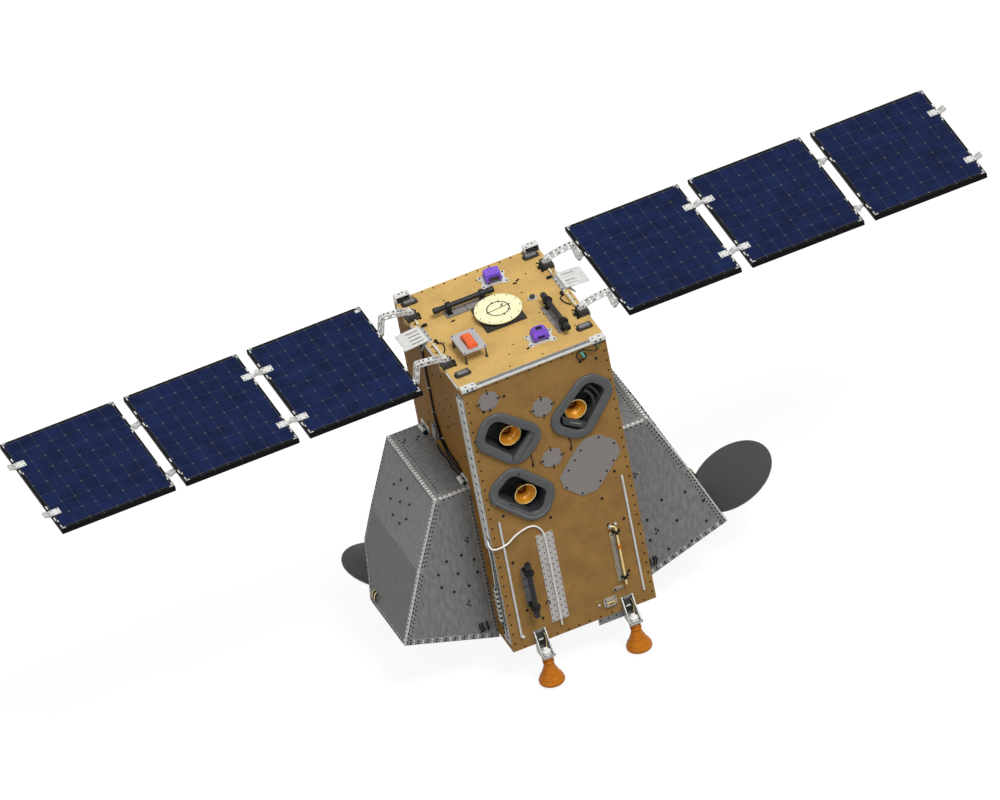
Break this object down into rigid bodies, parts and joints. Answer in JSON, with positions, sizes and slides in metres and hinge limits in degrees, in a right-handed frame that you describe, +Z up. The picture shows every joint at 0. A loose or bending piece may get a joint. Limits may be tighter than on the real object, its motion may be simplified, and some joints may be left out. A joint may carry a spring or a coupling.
{
  "type": "small earth observation satellite",
  "caption": "Box-shaped satellite with two folding solar wings, side shrouds, steerable dishes, horn antennas, deck sensors and a launch ring.",
  "frame": {"origin": "centre of the launch ring's bolt circle, in its base plane", "axes": "+X towards the right wing's tip, -Y out of the face with the horns, +Z up out of the deck"},
  "size_m": [4.321, 1.1565, 1.666],
  "materials": {
    "deck_tan": "matte gold-brown film over a sandwich panel",
    "body_tan": "matte gold-brown film over a sandwich panel",
    "shroud_grey": "dull bare sheet with rivets",
    "bare_metal": "satin bare metal",
    "white_metal": "bright machined metal",
    "dark_metal": "dark grey anodised",
    "solar_cells": "dark blue cells under cover glass on a black panel",
    "cream_cover": "cream cover",
    "black_rod": "black",
    "purple_anodised": "purple anodised",
    "orange_plastic": "orange",
    "grey_plate": "grey paint",
    "funnel_grey": "dark grey paint",
    "gold_metal": "gold",
    "copper_gold": "orange gold",
    "white_hose": "white sleeve",
    "black_cable": "black",
    "dish_grey": "dark grey composite"
  },
  "bodies": {
    "root": {"top_deck": "deck_tan", "base_deck": "deck_tan", "front_panel": "body_tan", "back_panel": "body_tan", "left_panel": "body_tan", "right_panel": "body_tan", "equipment_block": "bare_metal", "launch_ring": "bare_metal", "left_shroud": "shroud_grey", "right_shroud": "shroud_grey", "shroud_fittings": "bare_metal", "left_root_arms": "white_metal", "right_root_arms": "white_metal", "arm_blocks": "dark_metal", "edge_plates": "bare_metal", "antenna_disc": "cream_cover", "antenna_base": "dark_metal", "deck_rod_rear": "black_rod", "deck_rod_right": "black_rod", "sun_sensors": "purple_anodised", "sensor_brackets": "white_metal", "instrument_table": "grey_plate", "orange_unit": "orange_plastic", "deck_pads": "dark_metal", "corner_brackets": "white_metal", "deck_rails": "white_metal", "funnel_upper_left": "funnel_grey", "funnel_lower_left": "funnel_grey", "funnel_right": "funnel_grey", "horn_antennas": "gold_metal", "access_covers": "grey_plate", "front_rod": "black_rod", "front_rails": "bare_metal", "front_tube": "gold_metal", "thruster_brackets": "bare_metal", "thruster_bells": "copper_gold", "front_hose": "white_hose", "side_strip": "bare_metal", "side_cable": "black_cable", "dish_posts": "dark_metal"},
    "left_inner_panel": {"left_wing_inner": "solar_cells", "left_inner_fittings": "white_metal"},
    "left_middle_panel": {"left_wing_middle": "solar_cells", "left_middle_fittings": "white_metal"},
    "left_outer_panel": {"left_wing_outer": "solar_cells", "left_outer_fittings": "white_metal"},
    "left_dish_arm_body": {"left_dish_arm": "dark_metal"},
    "left_dish_body": {"left_dish": "dish_grey"},
    "right_inner_panel": {"right_wing_inner": "solar_cells", "right_inner_fittings": "white_metal"},
    "right_middle_panel": {"right_wing_middle": "solar_cells", "right_middle_fittings": "white_metal"},
    "right_outer_panel": {"right_wing_outer": "solar_cells", "right_outer_fittings": "white_metal"},
    "right_dish_arm_body": {"right_dish_arm": "dark_metal"},
    "right_dish_body": {"right_dish": "dish_grey"}
  },
  "joints": [
    {"name": "left_wing_fold", "type": "hinge", "parent": "root", "child": "left_inner_panel", "pos_m": [-0.456, -0.047, 1.57], "axis": [0, -1, 0], "range_deg": [0, 90]},
    {"name": "left_middle_fold", "type": "hinge", "parent": "left_inner_panel", "child": "left_middle_panel", "pos_m": [-1.0175, -0.047, 1.614], "axis": [0, -1, 0], "range_deg": [-180, 0]},
    {"name": "left_outer_fold", "type": "hinge", "parent": "left_middle_panel", "child": "left_outer_panel", "pos_m": [-1.5845, -0.047, 1.579], "axis": [0, -1, 0], "range_deg": [0, 180]},
    {"name": "right_wing_fold", "type": "hinge", "parent": "root", "child": "right_inner_panel", "pos_m": [0.456, -0.047, 1.57], "axis": [0, 1, 0], "range_deg": [0, 90]},
    {"name": "right_middle_fold", "type": "hinge", "parent": "right_inner_panel", "child": "right_middle_panel", "pos_m": [1.0175, -0.047, 1.614], "axis": [0, 1, 0], "range_deg": [-180, 0]},
    {"name": "right_outer_fold", "type": "hinge", "parent": "right_middle_panel", "child": "right_outer_panel", "pos_m": [1.5845, -0.047, 1.579], "axis": [0, 1, 0], "range_deg": [0, 180]},
    {"name": "left_dish_swing", "type": "hinge", "parent": "root", "child": "left_dish_arm_body", "pos_m": [-0.536, 0.04, 0.173], "axis": [0.3518, 0, 0.9361], "range_deg": [0, 95]},
    {"name": "left_dish_tilt", "type": "hinge", "parent": "left_dish_arm_body", "child": "left_dish_body", "pos_m": [-0.55219, 0.2874, 0.17909], "axis": [0.9338, 0.0698, -0.351], "range_deg": [-20, 40]},
    {"name": "right_dish_swing", "type": "hinge", "parent": "root", "child": "right_dish_arm_body", "pos_m": [0.536, 0.04, 0.173], "axis": [-0.3518, 0, 0.9361], "range_deg": [0, 95]},
    {"name": "right_dish_tilt", "type": "hinge", "parent": "right_dish_arm_body", "child": "right_dish_body", "pos_m": [0.76528, 0.0012, 0.25918], "axis": [-0.1464, -0.9877, -0.055], "range_deg": [-20, 40]}
  ],
  "couplings": [
    {"joint": "left_middle_fold", "follows": "left_wing_fold", "ratio": -2},
    {"joint": "left_outer_fold", "follows": "left_wing_fold", "ratio": 2},
    {"joint": "right_middle_fold", "follows": "right_wing_fold", "ratio": -2},
    {"joint": "right_outer_fold", "follows": "right_wing_fold", "ratio": 2}
  ]
}
